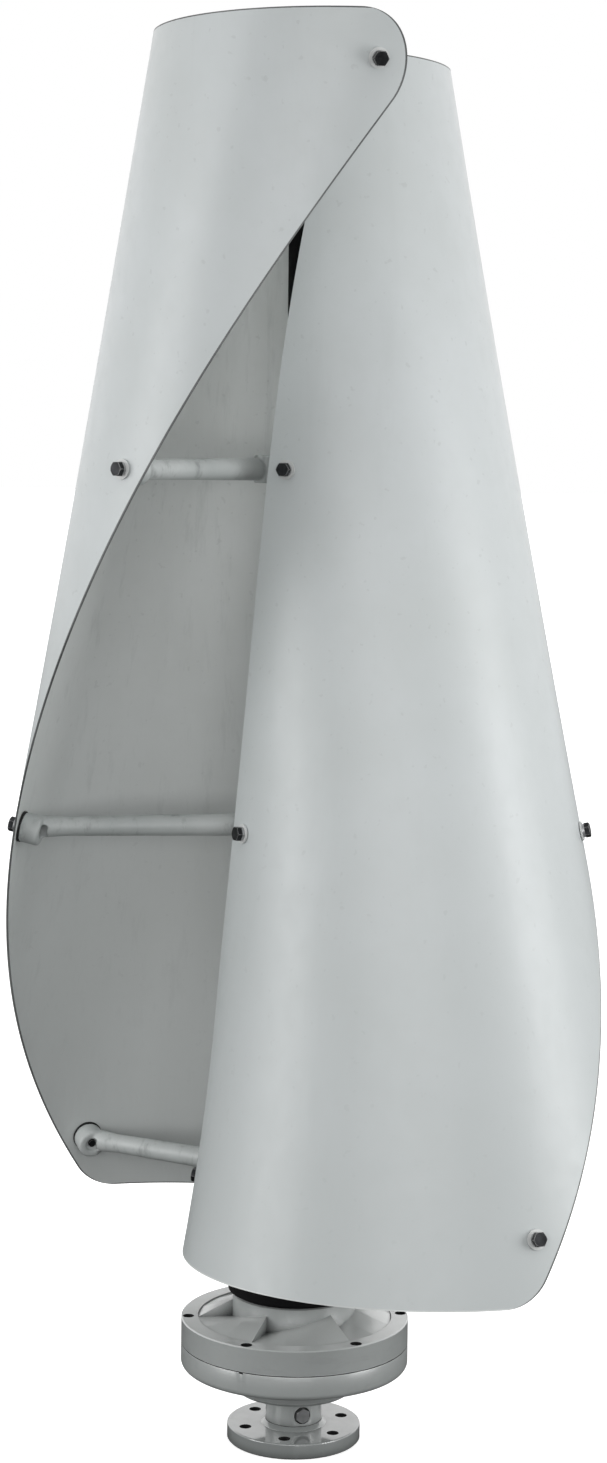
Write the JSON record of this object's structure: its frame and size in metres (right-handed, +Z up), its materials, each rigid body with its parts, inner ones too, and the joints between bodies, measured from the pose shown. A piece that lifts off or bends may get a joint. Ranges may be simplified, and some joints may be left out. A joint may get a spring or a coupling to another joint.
{
  "type": "vertical axis wind turbine",
  "caption": "Vertical axis wind turbine: twisted sheet blades on arms clamped to a central mast, turning on a disc generator with a bolt-down foot.",
  "frame": {"origin": "centre of the foot flange's underside, on the rotation axis", "axes": "+Z up along the rotation axis; the viewer of the reference view stands on the -Y side"},
  "size_m": [0.596, 0.6016, 1.3862],
  "materials": {
    "blade_paint": "satin light grey powder coat on sheet metal",
    "arm_paint": "light grey paint on cast arms, scuffed",
    "housing_paint": "grey paint on cast aluminium",
    "black_steel": "matt black coated steel",
    "dark_hardware": "blackened steel fasteners",
    "bright_hardware": "zinc plated steel",
    "machined_steel": "turned steel",
    "bearing_steel": "ground and polished",
    "magnet_nickel": "nickel plated",
    "brass_cage": "pressed brass",
    "copper_coils": null,
    "stator_resin": "cast resin",
    "black_rubber": "matt",
    "cable_jacket": "matt black jacket",
    "gasket_fibre": "thin sealing sheet"
  },
  "bodies": {
    "generator_base": {"base_flange": "housing_paint", "neck_bolts": "dark_hardware", "lower_cover": "housing_paint", "upper_cover": "housing_paint", "cover_gasket": "gasket_fibre", "cover_bolts": "dark_hardware", "stator_disc": "stator_resin", "stator_coils": "copper_coils", "output_cable": "cable_jacket", "cable_grommet": "black_rubber", "shaft_seal": "black_rubber", "lower_bearing_outer_ring": "bearing_steel", "upper_bearing_outer_ring": "bearing_steel"},
    "rotor": {"blade_a": "blade_paint", "blade_a_gaskets": "black_rubber", "blade_b": "blade_paint", "blade_b_gaskets": "black_rubber", "bottom_arm_a": "arm_paint", "bottom_arm_b": "arm_paint", "clamp_bolts": "dark_hardware", "clamp_nuts": "dark_hardware", "clamp_washers": "bright_hardware", "drive_flange": "black_steel", "drive_key": "machined_steel", "generator_shaft": "machined_steel", "hub_bolts": "dark_hardware", "hub_nuts": "dark_hardware", "hub_washers": "bright_hardware", "inner_edge_bolts": "dark_hardware", "inner_edge_lock_washers": "bright_hardware", "inner_edge_washers": "bright_hardware", "lower_arm_a": "arm_paint", "lower_arm_b": "arm_paint", "lower_bearing_inner_ring": "bearing_steel", "lower_magnets": "magnet_nickel", "lower_rotor_disc": "bright_hardware", "mast_cap": "black_rubber", "mast_flange": "black_steel", "mast_tube": "black_steel", "outer_edge_bolts": "dark_hardware", "outer_edge_lock_washers": "bright_hardware", "outer_edge_washers": "bright_hardware", "rotor_locknut": "machined_steel", "rotor_spacer": "machined_steel", "shaft_nut": "bright_hardware", "shaft_washer": "bright_hardware", "top_arm_a": "arm_paint", "top_arm_b": "arm_paint", "upper_arm_a": "arm_paint", "upper_arm_b": "arm_paint", "upper_bearing_inner_ring": "bearing_steel", "upper_magnets": "magnet_nickel", "upper_rotor_disc": "bright_hardware"},
    "lower_ball_set": {"lower_bearing_balls": "bearing_steel", "lower_bearing_cage": "brass_cage"},
    "upper_ball_set": {"upper_bearing_balls": "bearing_steel", "upper_bearing_cage": "brass_cage"}
  },
  "joints": [
    {"name": "rotor_spin", "type": "hinge", "parent": "generator_base", "child": "rotor", "pos_m": [0, 0, 0.12], "axis": [0, 0, 1], "continuous": true},
    {"name": "lower_balls_orbit", "type": "hinge", "parent": "generator_base", "child": "lower_ball_set", "pos_m": [0, 0, 0.0695], "axis": [0, 0, 1], "continuous": true},
    {"name": "upper_balls_orbit", "type": "hinge", "parent": "generator_base", "child": "upper_ball_set", "pos_m": [0, 0, 0.1255], "axis": [0, 0, 1], "continuous": true}
  ],
  "couplings": [
    {"joint": "lower_balls_orbit", "follows": "rotor_spin", "ratio": 0.3974},
    {"joint": "upper_balls_orbit", "follows": "rotor_spin", "ratio": 0.3974}
  ]
}
